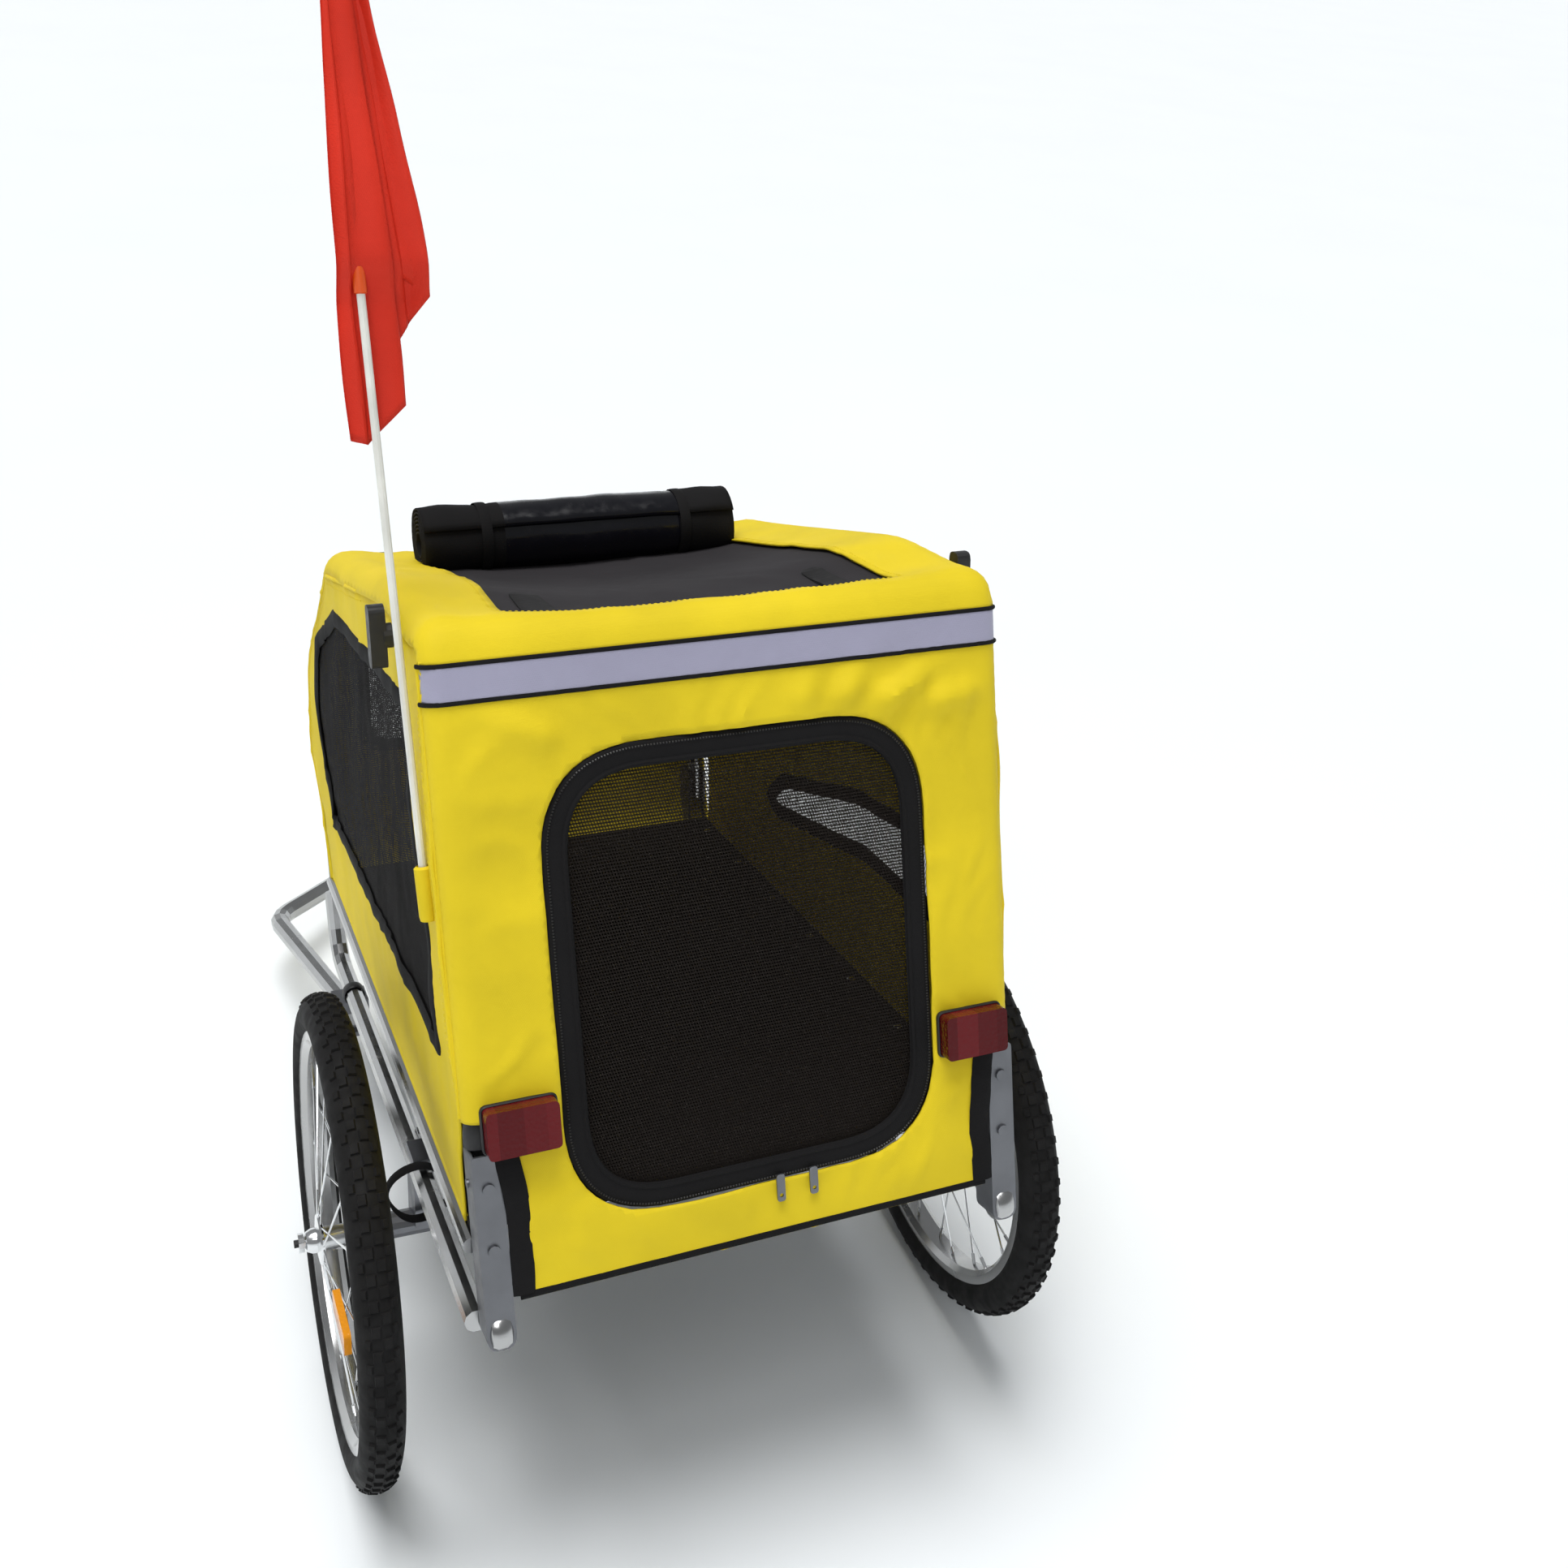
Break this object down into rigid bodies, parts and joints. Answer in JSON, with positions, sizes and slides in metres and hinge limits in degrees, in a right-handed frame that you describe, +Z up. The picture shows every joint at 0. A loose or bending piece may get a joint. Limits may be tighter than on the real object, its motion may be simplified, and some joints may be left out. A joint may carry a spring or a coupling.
{
  "type": "bicycle trailer",
  "caption": "Two-wheeled bicycle trailer with a folding fabric cabin, a zipped mesh rear door, push-button wheels, a swinging drawbar and a safety flag.",
  "frame": {"origin": "on the ground, under the centre of the overall box", "axes": "+Y is the direction of travel, +Z up, +X the right-hand side; the trailer stands unhitched, nose down on its drawbar"},
  "size_m": [0.7922, 1.4188, 1.5532],
  "materials": {
    "yellow_polyester": "woven polyester, satin coated",
    "black_binding": "woven webbing",
    "charcoal_mesh": "open weave mesh",
    "cabin_floor": "coarse woven nylon over a board",
    "frame_aluminium": "satin",
    "bracket_steel": "zinc plated",
    "bright_steel": "polished",
    "black_plastic": "moulded",
    "tyre_rubber": "knobbly rubber",
    "rim_alloy": "satin",
    "red_reflector": "prismatic",
    "amber_reflector": "prismatic",
    "silver_tape": "retroreflective",
    "flag_cloth": "thin nylon",
    "white_rod": "glass-fibre rod",
    "clear_cover": "clear film rolled over black cloth"
  },
  "bodies": {
    "chassis": {"base_rail_left": "frame_aluminium", "base_rail_right": "frame_aluminium", "lower_tube_left": "frame_aluminium", "lower_tube_right": "frame_aluminium", "rear_cross_tube": "frame_aluminium", "middle_cross_tube": "frame_aluminium", "front_cross_tube": "frame_aluminium", "floor_board": "cabin_floor", "rear_bracket_left": "bracket_steel", "rear_bracket_right": "bracket_steel", "front_bracket_left": "bracket_steel", "front_bracket_right": "bracket_steel", "axle_receiver_left": "bracket_steel", "axle_receiver_right": "bracket_steel", "axle_strap_left": "black_binding", "axle_strap_right": "black_binding", "side_panel_left": "yellow_polyester", "side_panel_right": "yellow_polyester", "side_mesh_left": "charcoal_mesh", "side_mesh_right": "charcoal_mesh", "roof_panel": "yellow_polyester", "roof_hatch": "charcoal_mesh", "front_panel": "yellow_polyester", "front_mesh": "charcoal_mesh", "flag_pocket": "yellow_polyester", "drawbar_bracket": "bracket_steel"},
    "rear_arch": {"rear_arch": "frame_aluminium", "rear_panel": "yellow_polyester", "reflective_stripe": "silver_tape", "reflector_left": "red_reflector", "reflector_right": "red_reflector"},
    "rear_door": {"rear_door_binding": "black_binding", "rear_door_mesh": "charcoal_mesh"},
    "front_arch": {"front_arch": "frame_aluminium", "cover_roll": "clear_cover"},
    "flag_mast": {"flag_pole": "white_rod", "flag": "flag_cloth"},
    "drawbar": {"drawbar": "frame_aluminium"},
    "hitch_coupler": {"hitch_coupler": "bracket_steel"},
    "hitch_pin": {"hitch_pin": "bright_steel"},
    "zip_pull_left": {"zip_pull_left": "bracket_steel"},
    "rear_rail_left": {"rear_rail_left": "frame_aluminium"},
    "front_rail_left": {"front_rail_left": "frame_aluminium"},
    "knob_left": {"knob_left": "black_plastic"},
    "axle_left": {"axle_left": "bright_steel"},
    "axle_button_left": {"axle_button_left": "black_plastic"},
    "wheel_left": {"tyre_left": "tyre_rubber", "rim_left": "rim_alloy", "hub_left": "bright_steel", "spoke_reflector_left": "amber_reflector"},
    "zip_pull_right": {"zip_pull_right": "bracket_steel"},
    "rear_rail_right": {"rear_rail_right": "frame_aluminium"},
    "front_rail_right": {"front_rail_right": "frame_aluminium"},
    "knob_right": {"knob_right": "black_plastic"},
    "axle_right": {"axle_right": "bright_steel"},
    "axle_button_right": {"axle_button_right": "black_plastic"},
    "wheel_right": {"tyre_right": "tyre_rubber", "rim_right": "rim_alloy", "hub_right": "bright_steel", "spoke_reflector_right": "amber_reflector"}
  },
  "joints": [
    {"name": "rear_arch_fold", "type": "hinge", "parent": "chassis", "child": "rear_arch", "pos_m": [0, -0.63505, 0.51275], "axis": [-1, 0, 0], "range_deg": [0, 68], "deforming": ["side_panel_left", "side_panel_right", "side_mesh_left", "side_mesh_right", "roof_panel", "roof_hatch", "front_panel", "front_mesh"]},
    {"name": "front_arch_fold", "type": "hinge", "parent": "chassis", "child": "front_arch", "pos_m": [0, 0.20175, 0.32066], "axis": [1, 0, 0], "range_deg": [0, 54.5]},
    {"name": "rear_door_swing", "type": "hinge", "parent": "rear_arch", "child": "rear_door", "pos_m": [0, -0.51654, 0.86653], "axis": [1, 0, 0], "range_deg": [-110, 0]},
    {"name": "flag_lift", "type": "slide", "parent": "chassis", "child": "flag_mast", "axis": [-0.0105, 0.363, 0.9317], "range_m": [0, 0.06]},
    {"name": "drawbar_swing", "type": "hinge", "parent": "chassis", "child": "drawbar", "pos_m": [-0.266, 0.02882, 0.15955], "axis": [0, -0.2112, -0.9774], "range_deg": [0, 90]},
    {"name": "coupler_roll", "type": "hinge", "parent": "drawbar", "child": "hitch_coupler", "pos_m": [-0.09, 0.69347, 0.01592], "axis": [0, 0.9774, -0.2112], "range_deg": [-45, 45]},
    {"name": "hitch_pin_pull", "type": "slide", "parent": "hitch_coupler", "child": "hitch_pin", "axis": [-1, 0, 0], "range_m": [0, 0.045]},
    {"name": "zip_pull_left_swing", "type": "hinge", "parent": "rear_door", "child": "zip_pull_left", "pos_m": [0.016, -0.67435, 0.47689], "axis": [1, 0, 0], "range_deg": [-100, 0]},
    {"name": "rear_rail_left_fold", "type": "hinge", "parent": "rear_arch", "child": "rear_rail_left", "pos_m": [0, -0.46662, 0.9451], "axis": [1, 0, 0], "range_deg": [0, 84.8]},
    {"name": "front_rail_left_fold", "type": "hinge", "parent": "front_arch", "child": "front_rail_left", "pos_m": [0, 0.05741, 0.7795], "axis": [1, 0, 0], "range_deg": [0, 123.4]},
    {"name": "knob_left_turn", "type": "hinge", "parent": "rear_rail_left", "child": "knob_left", "pos_m": [-0.2223, -0.38319, 0.92043], "axis": [-1, 0, 0], "range_deg": [0, 360]},
    {"name": "axle_left_pull", "type": "slide", "parent": "chassis", "child": "axle_left", "axis": [-0.9995, 0.007, 0.0324], "range_m": [0, 0.06]},
    {"name": "axle_button_left_press", "type": "slide", "parent": "axle_left", "child": "axle_button_left", "axis": [0.9995, -0.007, -0.0324], "range_m": [0, 0.003], "stiffness_N_per_m": 600, "springref_m": -0.001},
    {"name": "wheel_left_spin", "type": "hinge", "parent": "axle_left", "child": "wheel_left", "pos_m": [-0.346, -0.41718, 0.24979], "axis": [0.9995, -0.007, -0.0324], "continuous": true},
    {"name": "zip_pull_right_swing", "type": "hinge", "parent": "rear_door", "child": "zip_pull_right", "pos_m": [0.049, -0.67435, 0.47689], "axis": [1, 0, 0], "range_deg": [-100, 0]},
    {"name": "rear_rail_right_fold", "type": "hinge", "parent": "rear_arch", "child": "rear_rail_right", "pos_m": [0, -0.46662, 0.9451], "axis": [1, 0, 0], "range_deg": [0, 84.8]},
    {"name": "front_rail_right_fold", "type": "hinge", "parent": "front_arch", "child": "front_rail_right", "pos_m": [0, 0.05741, 0.7795], "axis": [1, 0, 0], "range_deg": [0, 123.4]},
    {"name": "knob_right_turn", "type": "hinge", "parent": "rear_rail_right", "child": "knob_right", "pos_m": [0.2223, -0.38319, 0.92043], "axis": [1, 0, 0], "range_deg": [0, 360]},
    {"name": "axle_right_pull", "type": "slide", "parent": "chassis", "child": "axle_right", "axis": [0.9995, 0.007, 0.0324], "range_m": [0, 0.06]},
    {"name": "axle_button_right_press", "type": "slide", "parent": "axle_right", "child": "axle_button_right", "axis": [-0.9995, -0.007, -0.0324], "range_m": [0, 0.003], "stiffness_N_per_m": 600, "springref_m": -0.001},
    {"name": "wheel_right_spin", "type": "hinge", "parent": "axle_right", "child": "wheel_right", "pos_m": [0.346, -0.41718, 0.24979], "axis": [0.9995, 0.007, 0.0324], "continuous": true}
  ],
  "couplings": [
    {"joint": "front_arch_fold", "follows": "rear_arch_fold", "ratio": 0.79412},
    {"joint": "rear_rail_left_fold", "follows": "rear_arch_fold", "ratio": 1.2397},
    {"joint": "front_rail_left_fold", "follows": "rear_arch_fold", "ratio": 1.8074},
    {"joint": "rear_rail_right_fold", "follows": "rear_arch_fold", "ratio": 1.2397},
    {"joint": "front_rail_right_fold", "follows": "rear_arch_fold", "ratio": 1.8074}
  ]
}
